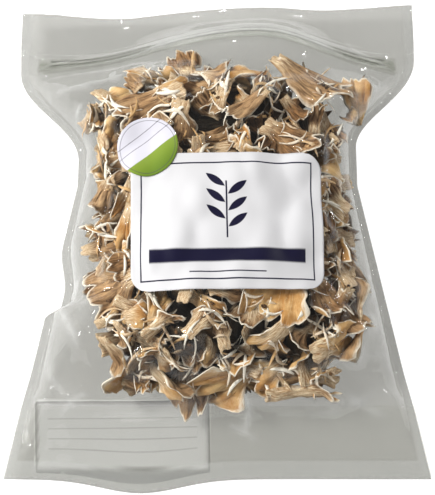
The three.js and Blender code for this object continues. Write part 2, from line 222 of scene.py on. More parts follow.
def arch(across):
    run = np.where(across > HUMP, FIN_START - HUMP, FIN_START + HUMP)
    return np.cos(math.pi / 2 * np.clip((across - HUMP) / run, -1, 1)) ** 2


def dome(across, y):
    body = (1 - np.minimum(np.abs(across) / FIN_START, 1) ** 3) ** 0.75
    return lerp(body, arch(across), smoothstep(y, 70, 105))


def floor_height(across, y):
    seam = 2 + 27 * pinch(y, 0) + 13 * smoothstep(y, 50, 115)
    low_end = 3.5 * (1 - smoothstep(y, -94, -70))
    return seam * smoothstep(np.abs(across), 0.42, 0.97) + low_end


def film_gap(y):
    zip_room = smoothstep(y, ZIP_Y - 12, ZIP_Y - 5) * (1 - smoothstep(y, ZIP_Y + 5, ZIP_Y + 12))
    return SEAL_GAP + 3.2 * (1 - smoothstep(y, FOLD_Y + 2, FOLD_Y + 10)) + 6.4 * zip_room


def front_height(across, y):
    crest = 75 * smoothstep(y, -128, -48) * (1 - 0.78 * smoothstep(y, 52, 132))
    return FILM / 2 + floor_height(across, y) + film_gap(y) + crest * dome(across, y)


def back_height(across, y):
    header = front_height(across, y) - film_gap(y)
    return lerp(FILM / 2 + floor_height(across, y), header, smoothstep(y, 62, ZIP_Y))


def film_point(height, across, y):
    low = 7 * np.exp(-(((across + 0.36) / 0.26) ** 2)) * (1 - smoothstep(y, BOTTOM_Y, -100))
    header = smoothstep(y, 100, TOP_Y)
    slant = 5.5 * (1 - across) * header / 2
    bow = 8 * arch(across) * smoothstep(y, 78, ZIP_Y) * (1 - header)
    x = across * side_half(y, np.sign(across))
    return np.stack([x, y - low - slant + bow, height(across, y)], -1)


def film_normal(height, across, y):
    along_x = film_point(height, across + 0.01, y) - film_point(height, across - 0.01, y)
    along_y = film_point(height, across, y + 1) - film_point(height, across, y - 1)
    normal = np.cross(along_x, along_y)
    return normal / np.linalg.norm(normal, axis=-1, keepdims=True)


def across_at(x, y):
    return x / side_half(y, np.sign(x))


top_of_film = film_point(front_height, np.array([0.0]), np.array([-10.0]))[0]
print("front film over the middle of the heap:", round(float(top_of_film[2]), 1), "mm")

# %% [markdown]
# ## Grain without random draws
# Dried things are irregular, but a script has to give the same shape each run. A small value noise,
# hashed from whole numbers, gives bumps that are the same every time and can be worked out for a
# whole mesh at once.


# %% Repeatable grain
def hashed(ix, iy, seed):
    n = ix.astype(np.int64) * 374761393 + iy.astype(np.int64) * 668265263 + seed * 974634773
    n = (n ^ (n >> 13)) * 1274126177 & 0xFFFFFFFF
    return ((n ^ (n >> 16)) & 0xFFFF) / 32767.5 - 1


def grain(x, y, seed):
    x, y = np.broadcast_arrays(np.asarray(x, float), np.asarray(y, float))
    ix, iy = np.floor(x), np.floor(y)
    fx, fy = smoothstep(x - ix, 0, 1), smoothstep(y - iy, 0, 1)
    low = lerp(hashed(ix, iy, seed), hashed(ix + 1, iy, seed), fx)
    high = lerp(hashed(ix, iy + 1, seed), hashed(ix + 1, iy + 1, seed), fx)
    return lerp(low, high, fy)


print("grain at three places:", np.round(grain([0.5, 1.5, 2.5], [0.2, 0.2, 0.2], 7), 3))

# %% [markdown]
# ## Sheets and slabs
# Fronds, labels and films are all thin sheets. Each starts as a flat grid; extruding the grid gives a
# closed slab whose lower and upper sides are marked by z. A formula then carries every vertex to its
# place, so that the operators make the faces and the formula makes only the shape.


# %% Slab helpers
def mesh_of(bm, name):
    """Ends a bmesh and keeps what it holds as a mesh."""
    mesh = bpy.data.meshes.new(name)
    bm.to_mesh(mesh)
    bm.free()
    return mesh


def flat_slab(columns, rows):
    bm = bmesh.new()
    bmesh.ops.create_grid(bm, x_segments=columns, y_segments=rows, size=1)
    grown = bmesh.ops.extrude_face_region(bm, geom=bm.faces[:])["geom"]
    upper = [part for part in grown if isinstance(part, bmesh.types.BMVert)]
    bmesh.ops.translate(bm, vec=(0, 0, 1), verts=upper)
    bmesh.ops.recalc_face_normals(bm, faces=bm.faces[:])
    return mesh_of(bm, "slab")


def read_points(mesh):
    flat = np.empty(3 * len(mesh.vertices), np.float32)
    mesh.vertices.foreach_get("co", flat)
    return flat.reshape(-1, 3).astype(float)


def write_points(mesh, points):
    mesh.vertices.foreach_set("co", (np.asarray(points) * MM).astype(np.float32).ravel())
    mesh.update()


def write_attribute(mesh, name, values):
    made = mesh.attributes.new(name, "FLOAT", "POINT")
    made.data.foreach_set("value", np.asarray(values, np.float32))


def add_piece(name, mesh, material, replaced=()):
    mesh.name = name
    mesh.materials.append(material)
    mesh.shade_smooth()
    piece = bpy.data.objects.new(name, mesh)
    scene.collection.objects.link(piece)
    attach(piece, "root")
    if replaced:
        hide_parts(*replaced)
    return piece


trial = flat_slab(2, 2)
print("a 2 by 2 slab has", len(trial.polygons), "faces, 16 when it is closed")
bpy.data.meshes.remove(trial)

# %% [markdown]
# ## Dried maitake
# Maitake is torn into fronds before it is dried. A frond has a fibrous cream stalk that flares into a
# fan of thin lobes. The upper side is taupe brown with darker streaks that run with the fan, the
# lower side is smooth and tan, and the torn rims are pale and curl. The streaks follow the frond and
# not the room, so the material reads attributes that are stored on each vertex: how far along the
# frond it is, how far across, which side it is on and, later, how deep it lies in the heap, which the
# material turns into painted shade.


# %% Frond material
def mushroom_material():
    material, tree = new_material("dried_maitake")
    along = attribute(tree, "along")
    across = attribute(tree, "across")
    upper = attribute(tree, "upper")
    tint = attribute(tree, "tint")
    stalky = attribute(tree, "stalky")
    painted_depth_shade = attribute(tree, "painted_depth_shade")

    fan_place = vector(across * 5, along * 1.6, tint * 40)
    fine_place = vector(across * 16, along * 3.5, tint * 70)
    streak = noise(fan_place, 2.2, 4.0, 0.6)
    fibre = noise(fine_place, 2.0, 4.0, 0.65)
    room = tree.node("ShaderNodeTexCoord", {}, output=3)
    blotch = noise(room, 90.0, 3.0, 0.6)
    pores = noise(room, 1400.0, 2.0, 0.5)

    cap_dark = blend(tint, opaque(color(58, 36, 21)), opaque(color(94, 68, 46)))
    cap_light = blend(tint, opaque(color(170, 125, 79)), opaque(color(204, 166, 122)))
    cap = blend(step(streak * 0.7 + fibre * 0.3, 0.32, 0.66), cap_dark, cap_light)
    cap = blend(step(blotch, 0.5, 0.72) * 0.55, cap, opaque(color(216, 182, 138)))

    flesh = blend(step(blotch, 0.35, 0.7), opaque(color(186, 133, 72)), opaque(color(232, 194, 136)))
    flesh = blend(step(fibre, 0.5, 0.75) * 0.35, flesh, opaque(color(248, 226, 180)))

    fibres = step(fibre * 0.7 + streak * 0.3, 0.38, 0.62)
    stalk = blend(fibres, opaque(color(162, 112, 62)), opaque(color(253, 236, 200)))

    fan = blend(upper, flesh, cap)
    stalk_share = step(stalky * 1.1 + streak * 0.3 - along, 0.0, 0.35)
    rim = step(along + fibre * 0.07, 0.975, 1.04)
    side_rim = step(abs(across) + fibre * 0.2, 1.0, 1.12) * step(along, 0.3, 0.6)
    torn = rim.math("MAXIMUM", rim, side_rim)
    base = blend(stalk_share, fan, stalk)
    base = blend(torn * 0.9, base, opaque(color(252, 244, 226)))
    # painted shade: vertices that lie deep in the heap are darkened towards a near-black brown
    base = blend(painted_depth_shade * 0.92, base, opaque(color(28, 17, 9)))

    height = fibre * 0.6 + streak * 0.3 + pores * 0.25
    shader = tree.node("ShaderNodeBsdfPrincipled", {
        "Base Color": base,
        "Roughness": 0.68 + fibre * 0.2,
        "Specular IOR Level": 0.35,
        "Normal": bump(height, 0.9, 0.0006),
    })
    set_surface(material, shader)
    return material


maitake = mushroom_material()
print("frond material has", len(maitake.node_tree.nodes), "nodes")

# %% [markdown]
# The CAD fronds take their traits from even spreads of numbers, one spread for each trait. Repeating
# the spreads here gives each fine frond the lobes, the cup and the curl of its CAD node. The fine
# frond then adds what CAD leaves out: ragged rims, buckles from drying and ridges on the cap.

# %% Traits and shape of a frond
SPREADS = [math.sqrt(n) for n in (2, 3, 5, 7, 11, 13, 17, 19)]
STALK_LIKE = 0.55


def draw(piece, trait, low, high):
    return lerp(low, high, ((piece + 1) * SPREADS[trait]) % 1)


def frond_traits(piece, length, width, stalk):
    return {
        "length": length, "stalk": stalk, "lobes": 2 if stalk > STALK_LIKE else 3,
        "fan_half": width / 2, "stalk_half": lerp(3, 0.36 * width, stalk),
        "stalk_thick": draw(piece, 0, 4, 5.5), "rim_thick": draw(piece, 1, 1.3, 1.8),
        "notch": draw(piece, 2, 0.08, 0.3), "cup": draw(piece, 3, 0.08, 0.3) * width,
        "swell": draw(piece, 4, 1, 3), "ruffle": draw(piece, 5, 0.4, 1.8),
        "curl": draw(piece, 6, 0.25, 0.95), "twist": draw(piece, 7, -0.6, 0.6),
    }


def frond_middle(f, across, along, seed, fine):
    """Middle of the frond's sheet: fine 0 is the CAD form, fine 1 has its torn and buckled detail."""
    length = f["length"]
    crest = np.abs(np.sin(math.pi * f["lobes"] * (across + 1) / 2))
    flare = smoothstep(along, 0.6 * f["stalk"], 1)
    ragged = 0.10 * grain(across * 4, 0.5, seed) + 0.05 * grain(across * 9, 0.5, seed + 1)
    ragged = ragged + 0.015 * grain(across * 27, 0.5, seed + 2)
    rim = length * (1 - 0.15 * across**2 - f["notch"] * (1 - crest) + fine * ragged)
    run = along * lerp(0.88 * length, rim, flare)
    foot = 0.1 * length * (1 - smoothstep(along, 0, 0.3)) * (0.5 + 0.5 * grain(across * 3, 0.5, seed + 9))
    run = run + fine * foot
    wander = 1 + fine * 0.22 * grain(along * 5 + 9 * np.sign(across), 0.5, seed + 3) * across**2
    side = across * lerp(f["stalk_half"], f["fan_half"], flare) * wander
    lift = flare * (f["swell"] * crest - f["cup"] * across**2)
    lift = lift + f["ruffle"] * along**2 * np.sin(4 * across + 7 * f["twist"])
    buckle = 2.4 * along * grain(across * 3.2, along * 2.6, seed + 4)
    buckle = buckle + 1.0 * grain(across * 7, along * 5, seed + 5)
    roll = smoothstep(along, 0.72, 1) ** 2 * (2.0 + 3.0 * grain(across * 3, 0.5, seed + 6))
    lift = lift + fine * (flare * 0.9 + 0.1) * (buckle + roll)
    turn = f["twist"] * along
    x = side * np.cos(turn) + lift * np.sin(turn)
    off = lift * np.cos(turn) - side * np.sin(turn)
    bend = f["curl"] * run / length - f["curl"] / 2
    radius = length / f["curl"]
    return np.stack([x, (radius - off) * np.sin(bend), radius - (radius - off) * np.cos(bend)], -1)


def frond_half_thickness(f, across, along, seed, fine, upper):
    flare = smoothstep(along, 0.6 * f["stalk"], 1)
    rim = f["rim_thick"] * (1 - fine * 0.62 * smoothstep(along, 0.5, 1))
    half = lerp(f["stalk_thick"] * np.sqrt(1 - 0.75 * across**2), rim, flare) / 2
    half = half * (1 - fine * 0.5 * np.abs(across) ** 8)
    half = half * (1 - fine * 0.65 * (1 - smoothstep(along, 0, 0.18)))
    ridges = 0.32 * grain(across * 15, along * 2.5, seed + 7)
    ridges = ridges + 0.2 * grain(across * 31, along * 5, seed + 8)
    return np.maximum(half + fine * ridges * (0.35 + 0.65 * upper) * (1 - 0.6 * flare), 0.16)


def frond_points(f, flat, seed, fine):
    """Places a flat slab's vertices: x is across, y is along, z tells the two sides apart."""
    across, upper = flat[:, 0], flat[:, 2]
    along = (flat[:, 1] + 1) / 2
    tiny = 0.004

    def middle(s, t):
        return frond_middle(f, s, t, seed, fine)

    right = middle(across + tiny, along) - middle(across - tiny, along)
    ahead = middle(across, along + tiny) - middle(across, along - tiny)
    normal = np.cross(right, ahead)
    normal /= np.maximum(np.linalg.norm(normal, axis=1, keepdims=True), 1e-9)
    half = frond_half_thickness(f, across, along, seed, fine, upper)
    return middle(across, along) + normal * (half * (2 * upper - 1))[:, None]


print("a frond of 40 mm:", {k: round(v, 2) for k, v in frond_traits(0, 40, 30, 0.2).items()})

# %% [markdown]
# Each CAD frond was laid by a search, so its place can't be worked out again. Its turn can: fronds
# that show lean with the film, and the others are turned by the spreads. So the plain form is made
# and turned first, its box is set against the CAD node's box, and the fine frond goes to that place.

# %% The fronds that show and the ones behind them
FRONDS = [
    (42, 70, 330, 46, 36, 0.2, 1), (29, -46, 250, 40, 36, 0.15, -1), (-34, -70, 255, 43, 34, 0.2, -1),
    (-4, -80, 215, 40, 32, 0.3, -1), (-43, 56, 205, 43, 27, 0.35, 1), (45, 38, 330, 33, 32, 0.2, 1),
    (-53, -36, 200, 33, 32, 0.2, 1), (-57, 42, 265, 27, 11, 0.8, 1), (-22, 76, 100, 24, 18, 0.3, 1),
    (-6, 77, 160, 33, 24, 0.3, 1), (9, 79, 60, 27, 22, 0.3, 1), (-19, 57, 120, 32, 24, 0.3, 1),
    (-8, 49, 10, 29, 15, 0.8, 1), (1, 43, 60, 27, 20, 0.3, -1), (-14, 37, 190, 33, 17, 0.6, 1),
    (11, 68, 150, 38, 16, 0.75, -1), (37, 57, 250, 38, 24, 0.3, -1), (20, 44, 270, 33, 27, 0.3, -1),
    (33, 50, 230, 29, 22, 0.3, 1), (-44, 17, 250, 27, 13, 0.6, -1), (-46, 5, 220, 24, 24, 0.15, 1),
    (-51, -15, 160, 29, 22, 0.3, -1), (-53, -23, 190, 27, 18, 0.7, 1), (-44, -49, 180, 38, 12, 0.8, 1),
    (-20, -77, 270, 32, 24, 0.3, 1), (-15, -57, 325, 45, 20, 0.5, -1), (8, -60, 270, 46, 10, 0.85, 1),
    (-6, -45, 300, 33, 27, 0.3, 1), (1, -50, 235, 29, 10, 0.8, -1), (14, -54, 280, 35, 22, 0.35, 1),
    (46, -45, 300, 29, 24, 0.3, 1), (56, -27, 300, 29, 22, 0.3, 1), (57, -53, 30, 29, 20, 0.5, -1),
    (31, -62, 200, 33, 24, 0.3, 1), (50, -66, 320, 24, 16, 0.4, -1), (36, -79, 0, 40, 14, 0.8, 1),
]
FILLER_TRIES = 48
MISFIT_LIMIT = 1.5
X_AXIS, Y_AXIS, Z_AXIS = Vector((1, 0, 0)), Vector((0, 1, 0)), Vector((0, 0, 1))


def turned(yaw, roll, pitch):
    return Quaternion(Z_AXIS, yaw) @ Quaternion(Y_AXIS, roll) @ Quaternion(X_AXIS, pitch)


def frond_plan(piece):
    x, y, heading, length, width, stalk, face = FRONDS[piece]
    normal = film_normal(front_height, np.array(across_at(x, y)), np.array(float(y)))
    lean = Z_AXIS.rotation_difference(Vector(normal))
    roll = draw(piece, 5, -0.25, 0.25) + (math.pi if face < 0 else 0)
    turn = lean @ turned(math.radians(heading - 90), roll, draw(piece, 4, -0.2, 0.2))
    return frond_traits(piece, length, width, stalk), turn


def filler_plan(piece):
    length = lerp(54, 28, piece / FILLER_TRIES)
    traits = frond_traits(piece, length, length * draw(piece, 1, 0.6, 0.9), draw(piece, 2, 0.15, 0.5))
    roll = draw(piece, 6, -0.3, 0.3) + (math.pi if piece % 2 else 0)
    return traits, turned(draw(piece, 7, 0, 2 * math.pi), roll, draw(piece, 5, -0.3, 0.3))


def rotate(points, quaternion):
    return points @ np.array(quaternion.to_matrix()).T


def plain_form(traits):
    rows = np.array([0, 0.22, 0.44, 0.64, 0.83, 1]) * 2 - 1
    columns = np.linspace(-1, 1, 2 * traits["lobes"] + 1)
    across, along = np.meshgrid(columns, rows)
    sides = [np.stack([across.ravel(), along.ravel(), np.full(across.size, z)], 1) for z in (0.0, 1.0)]
    return frond_points(traits, np.concatenate(sides), 0, 0)


def place_of(node, traits, turn):
    low, high = (np.array(corner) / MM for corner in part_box(node))
    form = rotate(plain_form(traits), turn)
    offset = (low + high - form.min(0) - form.max(0)) / 2
    misfit = np.abs((high - low) - (form.max(0) - form.min(0))).max()
    return offset, misfit


plans = {}
for node in sorted(nodes):
    kind, _, number = node.partition("_")
    if kind in ("frond", "filler"):
        traits, turn = (frond_plan if kind == "frond" else filler_plan)(int(number) - 1)
        offset, misfit = place_of(node, traits, turn)
        plans[node] = (traits, turn, offset)
        if misfit > MISFIT_LIMIT:
            print(node, "differs from its box by", round(float(misfit), 2), "mm")
print(len(plans), "fronds planned")

# %% [markdown]
# While the fronds are made, a height map of the table keeps the top of the heap, one value for each
# square millimetre. It later tells where gaps are left and how far the film can sink.

# %% Height map of the heap
MAP_X, MAP_Y = 120, 145
FROND_GRID = (44, 60)
FILLER_GRID = (28, 38)
heap_top = np.full((2 * MAP_Y, 2 * MAP_X), -1.0)


def map_index(x, y):
    ix = np.clip(np.round(np.asarray(x) + MAP_X).astype(int), 0, 2 * MAP_X - 1)
    iy = np.clip(np.round(np.asarray(y) + MAP_Y).astype(int), 0, 2 * MAP_Y - 1)
    return iy, ix


def raise_heap(points):
    np.maximum.at(heap_top, map_index(points[:, 0], points[:, 1]), points[:, 2])


def film_ceiling(x, y):
    return front_height(across_at(x, y), y)


def under_film(points, clearance):
    """Presses points that stand too high back under the film."""
    x, y = points[:, 0], points[:, 1]
    across = np.clip(across_at(x, y), -0.94, 0.94)
    points[:, 2] = np.minimum(points[:, 2], front_height(across, y) - clearance)
    points[:, 2] = np.maximum(points[:, 2], back_height(across, y) + 0.6)
    return points


def frond_attributes(flat, tint, stalk):
    """What the frond material reads on each vertex of a slab."""
    full = np.ones(len(flat))
    return {
        "across": flat[:, 0], "along": (flat[:, 1] + 1) / 2, "upper": flat[:, 2],
        "tint": full * tint, "stalky": full * stalk,
    }


def dress_frond(node, traits, turn, offset, seed, tint):
    mesh = flat_slab(*(FROND_GRID if node.startswith("frond") else FILLER_GRID))
    flat = read_points(mesh)
    points = under_film(rotate(frond_points(traits, flat, seed, 1), turn) + offset, 1.0)
    write_points(mesh, points)
    for name, values in frond_attributes(flat, tint, traits["stalk"]).items():
        write_attribute(mesh, name, values)
    raise_heap(points)
    return mesh


heap_pieces = []
for count, (node, (traits, turn, offset)) in enumerate(plans.items()):
    mesh = dress_frond(node, traits, turn, offset, 20 * count, draw(count, 3, 0, 1))
    heap_pieces.append(add_piece(f"fine_{node}", mesh, maitake, [node]))
print("fine fronds:", len(plans), "heap reaches", round(float(heap_top.max()), 1), "mm")

# %% [markdown]
# ## Scraps between the fronds
# A bag of dried maitake also holds small torn scraps. They fill the gaps that the large fronds leave,
# so the scraps are laid by the height map: again and again, a scrap goes where the heap lies deepest
# under the film. They share the frond's formula with fewer faces, and all of them are one mesh.

# %% Lay the scraps
SCRAPS = 150
SCRAP_GRID = (14, 18)
SCRAP_SPOTS = 900
GAP_REACH = 5


def heap_edges(y):
    left = lerp(-52, -63, smoothstep(y, -85, 50)) - 4 * smoothstep(y, 45, 65)
    right = 64 + 17 * smoothstep(y, 48, 78) + 5 * (1 - smoothstep(y, -40, -10))
    right = right - 26 * (1 - smoothstep(y, -92, -62))
    return left, right


def heap_spots(count, low=-82, high=80):
    y = low + (high - low) * (np.arange(1, count + 1) * SPREADS[1] % 1)
    left, right = heap_edges(y)
    x = left + (right - left) * (np.arange(1, count + 1) * SPREADS[0] % 1)
    return x, np.minimum(y, 82 - 0.9 * np.maximum(-x - 32, 0))


def join_pieces(name, parts):
    """One mesh of many slabs: parts are pairs of a mesh and its attributes."""
    bm = bmesh.new()
    for mesh, _ in parts:
        bm.from_mesh(mesh)
        bpy.data.meshes.remove(mesh)
    whole = mesh_of(bm, name)
    for key in parts[0][1]:
        write_attribute(whole, key, np.concatenate([values[key] for _, values in parts]))
    return whole


def heap_depth(x, y, reach):
    """How far the heap lies under the film, on average round a spot."""
    ring = np.linspace(0, 2 * math.pi, 8, endpoint=False)
    px = np.concatenate([x[:, None], x[:, None] + reach * np.cos(ring)], 1)
    py = np.concatenate([y[:, None], y[:, None] + reach * np.sin(ring)], 1)
    top = np.maximum(heap_top[map_index(px, py)], back_height(np.clip(across_at(px, py), -0.9, 0.9), py))
    return (film_ceiling(px, py) - top).mean(1)


def scrap(piece, x, y, drop, grid):
    length = draw(piece, 0, 15, 30)
    traits = frond_traits(piece, length, length * draw(piece, 1, 0.35, 0.85), draw(piece, 2, 0.1, 0.8))
    traits["stalk_thick"] *= 0.55
    traits["cup"] *= 1.7
    traits["curl"] *= 1.7
    across = across_at(x, y)
    lean = Z_AXIS.rotation_difference(Vector(film_normal(front_height, np.array(across), np.array(y))))
    flip = math.pi if piece % 3 == 0 else 0
    roll = draw(piece, 5, -0.7, 0.7) + flip
    turn = lean @ turned(draw(piece, 7, 0, 2 * math.pi), roll, draw(piece, 4, -0.5, 0.5))
    mesh = flat_slab(*grid)
    flat = read_points(mesh)
    points = rotate(frond_points(traits, flat, 4000 + 20 * piece, 1), turn)
    center = np.array([x, y, film_ceiling(x, y) - drop - points[:, 2].max()])
    points = under_film(points + center, 1.2)
    write_points(mesh, points)
    raise_heap(points)
    return mesh, frond_attributes(flat, draw(piece, 3, 0, 1), traits["stalk"])


spot_x, spot_y = heap_spots(SCRAP_SPOTS)
scraps = []
for piece in range(SCRAPS):
    depth = heap_depth(spot_x, spot_y, GAP_REACH)
    deepest = int(np.argmax(depth))
    drop = min(depth[deepest] * 0.45, draw(piece, 6, 2, 12))
    scraps.append(scrap(piece, spot_x[deepest], spot_y[deepest], drop, SCRAP_GRID))
gap_left = float(heap_depth(spot_x, spot_y, GAP_REACH).max())
print("scraps:", len(scraps), "deepest gap left:", round(gap_left, 1), "mm")
heap_pieces.append(add_piece("torn_scraps", join_pieces("torn_scraps", scraps), maitake))

# %% [markdown]
# The outline of the heap is as ragged as its top. More scraps, with fewer faces, are strewn along it,
# each at its own height between the two films.

# %% Scraps round the rim
RIM_SCRAPS = 130
RIM_GRID = (8, 10)


def rim_spot(piece):
    """A place on the outline of the heap."""
    angle = draw(piece, 2, 0, 2 * math.pi)
    y = 75 * math.sin(angle) - 5
    left, right = heap_edges(y)
    x = (left + right) / 2 + 0.96 * (right - left) / 2 * math.cos(angle)
    return x, min(y, 74 - 0.9 * max(-x - 32, 0))


rim_scraps = []
for piece in range(SCRAPS, SCRAPS + RIM_SCRAPS):
    x, y = rim_spot(piece)
    room = film_ceiling(x, y) - back_height(across_at(x, y), y)
    rim_scraps.append(scrap(piece, x, y, draw(piece, 3, 0.1, 0.85) * room, RIM_GRID))
heap_pieces.append(add_piece("rim_scraps", join_pieces("rim_scraps", rim_scraps), maitake))
print("scraps round the rim:", len(rim_scraps))

# %% [markdown]
# Deep in the heap the pieces lie so close that only darkness shows between them. A lumpy bed of packed
# scraps takes their place: a slab from the back film up to half the height of the heap. The painted
# depth shade further on turns its frond material nearly black, so it is also a sheet of painted shade.

# %% Packed bed of the heap
BED_LOW, BED_HIGH = -74, 70
BED_GRID = (90, 110)


def packed_bed():
    mesh = flat_slab(*BED_GRID)
    flat = read_points(mesh)
    y = lerp(BED_LOW, BED_HIGH, (flat[:, 1] + 1) / 2)
    left, right = heap_edges(y)
    left = left + 12 + 5 * grain(y / 7, 0.5, 76)
    right = right - 14 - 5 * grain(y / 6, 0.5, 77)
    x = lerp(left, right, (flat[:, 0] + 1) / 2)
    across = across_at(x, y)
    low = back_height(across, y) + 0.7
    rim = ((1 - flat[:, 0] ** 2) * (1 - flat[:, 1] ** 2)) ** 0.55
    lumps = 4 * grain(x / 9, y / 8, 71) + 2.5 * grain(x / 4, y / 4, 72)
    lumps = lumps + 1.2 * grain(x / 1.8, y / 1.8, 73)
    high = low + 0.3 + rim * np.maximum(0.55 * (front_height(across, y) - low) + lumps, 0)
    high = np.minimum(high, np.maximum(front_height(across, y) - 2.5, low + 0.3))
    points = np.stack([x, y, lerp(low, high, flat[:, 2])], 1)
    write_points(mesh, points)
    raise_heap(points)
    full = np.ones(len(flat))
    for name, values in (("across", grain(x / 6, y / 7, 74)), ("along", 0.62 * full), ("upper", full),
                         ("tint", 0.5 + 0.5 * grain(x / 8, y / 8, 75)), ("stalky", 0 * full)):
        write_attribute(mesh, name, values)
    return mesh


# the bed is painted nearly black by the depth shade set further on
heap_pieces.append(add_piece("packed_bed", packed_bed(), maitake))
print("packed bed reaches", round(float(heap_top.max()), 1), "mm")

# %% [markdown]
# Pale shreds and dark crumbs lie over everything. A shred is a slab a few faces long, bent along the
# top of the heap; a crumb is a small lumpy ball. Hundreds of them need few faces each.

# %% Shreds and crumbs
SHREDS = 330
CRUMBS = 160


def neighbours(values):
    """The map moved by one step to each of its four sides."""
    padded = np.pad(values, 1, mode="edge")
    return padded[:-2, 1:-1], padded[2:, 1:-1], padded[1:-1, :-2], padded[1:-1, 2:]


def smooth_map(values, rounds):
    for _ in range(rounds):
        values = (sum(neighbours(values)) + 4 * values) / 8
    return values


def widest(values, rounds):
    for _ in range(rounds):
        values = np.maximum.reduce([values, *neighbours(values)])
    return values


def strewn(piece, trait, low, high):
    """A trait without any order from one piece to the next."""
    return lerp(low, high, math.sin(12.9898 * (piece + 1) + 78.233 * trait) * 43758.5453 % 1)


def shred(piece, x, y, ground):
    x, y = x + strewn(piece, 0, -4, 4), y + strewn(piece, 1, -4, 4)
    length = strewn(piece, 2, 5, 18)
    width = strewn(piece, 3, 0.6, 2.0)
    heading = strewn(piece, 4, 0, 2 * math.pi)
    mesh = flat_slab(1, 9)
    flat = read_points(mesh)
    along = flat[:, 1] * length / 2
    sway = strewn(piece, 5, -1.0, 1.0) * (along**2) / length
    side = flat[:, 0] * width / 2 * (1 - 0.75 * flat[:, 1] ** 2) + sway
    px = x + along * math.cos(heading) - side * math.sin(heading)
    py = y + along * math.sin(heading) + side * math.cos(heading)
    rise = strewn(piece, 6, -0.8, 2.2) * (1 - flat[:, 1] ** 2) + 0.5 * flat[:, 2]
    lowest = ground[map_index(x, y)] - 2.5
    pz = np.maximum(ground[map_index(px, py)], lowest) + rise + 0.4 * flat[:, 0] * math.sin(3 * piece)
    points = under_film(np.stack([px, py, pz], 1), 0.9)
    write_points(mesh, points)
    raise_heap(points)
    return mesh, {"pale": np.full(len(flat), strewn(piece, 7, 0, 1))}


def crumb(piece, x, y, ground):
    bm = bmesh.new()
    bmesh.ops.create_icosphere(bm, subdivisions=1, radius=draw(piece, 2, 0.4, 1.3))
    mesh = mesh_of(bm, "crumb")
    points = read_points(mesh)
    points *= 1 + 0.35 * grain(points[:, :1] * 2, points[:, 1:2] * 2, piece)
    points *= (draw(piece, 3, 0.6, 1.6), draw(piece, 4, 0.6, 1.6), 0.7)
    points += (x, y, ground[map_index(x, y)] + 0.3)
    points = under_film(points, 0.9)
    write_points(mesh, points)
    return mesh, {"pale": np.full(len(points), draw(piece, 5, 0, 0.6))}


def scrap_material(name, dark, light):
    material, tree = new_material(name)
    pale = attribute(tree, "pale")
    place = tree.node("ShaderNodeTexCoord", {}, output=3)
    fibre = noise(place, 700.0, 3.0, 0.6)
    tone = blend(step(pale * 0.7 + fibre * 0.5, 0.25, 0.85), opaque(dark), opaque(light))
    shader = tree.node("ShaderNodeBsdfPrincipled", {
        "Base Color": tone, "Roughness": 0.75, "Normal": bump(fibre, 0.8, 0.0004),
    })
    set_surface(material, shader)
    return material


ground = smooth_map(np.maximum(heap_top, 0), 6)
shred_x, shred_y = heap_spots(SHREDS, -82, 84)
shreds = [shred(k, shred_x[k], shred_y[k], ground) for k in range(SHREDS)]
crumb_x, crumb_y = heap_spots(CRUMBS, -78, 80)
crumbs = [crumb(k, crumb_x[k], crumb_y[k], ground) for k in range(CRUMBS)]
shred_flesh = scrap_material("shred_flesh", color(206, 166, 112), color(255, 248, 232))
crumb_bark = scrap_material("crumb_bark", color(42, 29, 20), color(150, 112, 74))
add_piece("pale_shreds", join_pieces("pale_shreds", shreds), shred_flesh)
add_piece("dark_crumbs", join_pieces("dark_crumbs", crumbs), crumb_bark)
print("shreds:", SHREDS, "crumbs:", CRUMBS)

# %% [markdown]
# Hardly any light reaches the pieces that lie deep, and what is left of it is brown. Each vertex keeps
# how far it lies under the top of the heap, and the frond material darkens with it as painted shade,
# less so near the outline of the heap.

# %% Depth in the heap, painted as shade
SHALLOW, DEEP = 2.5, 12.0
HEAP_LOW, HEAP_HIGH = -86, 84
EDGE_SHADE = 0.45
roof = smooth_map(widest(heap_top, 4), 10)
for piece in heap_pieces:
    points = read_points(piece.data) / MM
    under = roof[map_index(points[:, 0], points[:, 1])] - points[:, 2]
    left, right = heap_edges(points[:, 1])
    indoors = np.minimum(points[:, 0] - left, right - points[:, 0])
    indoors = np.minimum.reduce([indoors, points[:, 1] - HEAP_LOW, HEAP_HIGH - points[:, 1]])
    shade = smoothstep(under, SHALLOW, DEEP) * lerp(EDGE_SHADE, 1, smoothstep(indoors, 4, 18))
    # painted shade that the frond material mixes into its colour
    write_attribute(piece.data, "painted_depth_shade", shade)
print("pieces with depth:", len(heap_pieces))

# %% [markdown]
# ## Clear film
# The film is thin, clear and glossy. Light goes straight through such a thin sheet, so a Transparent
# shader with a little tint carries most of it, and a Glossy shader is mixed in more and more as the
# surface turns away, which is what makes creases flash. Two values on each vertex change the film:
# `haze` mixes in a milky Diffuse shader, and `stuck` clears the patch that a label is pressed to. The
# back film is a little milky all over: it lies in the heap's shadow and shows it.

# %% Film materials
STUCK_TINT = (0.97, 0.97, 0.965)
FACE_GLOSS, EDGE_GLOSS = 0.011, 0.3
EDGE_FALL = 5.0


def film_material(name, tint, milk_color, roughness):
    material, tree = new_material(name)
    clear = tree.node("ShaderNodeBsdfTransparent", {"Color": opaque(tint)})
    bare = tree.node("ShaderNodeBsdfTransparent", {"Color": opaque(STUCK_TINT)})
    gloss = tree.node("ShaderNodeBsdfGlossy", {"Color": (1, 1, 1, 1), "Roughness": roughness})
    milk = tree.node("ShaderNodeBsdfDiffuse", {"Color": opaque(milk_color)})
    facing = tree.node("ShaderNodeLayerWeight", {"Blend": 0.5}, output=1)
    body = join(attribute(tree, "stuck"), clear, bare)
    body = join(attribute(tree, "haze"), body, milk)
    set_surface(material, join(facing**EDGE_FALL * EDGE_GLOSS + FACE_GLOSS, body, gloss))
    return material


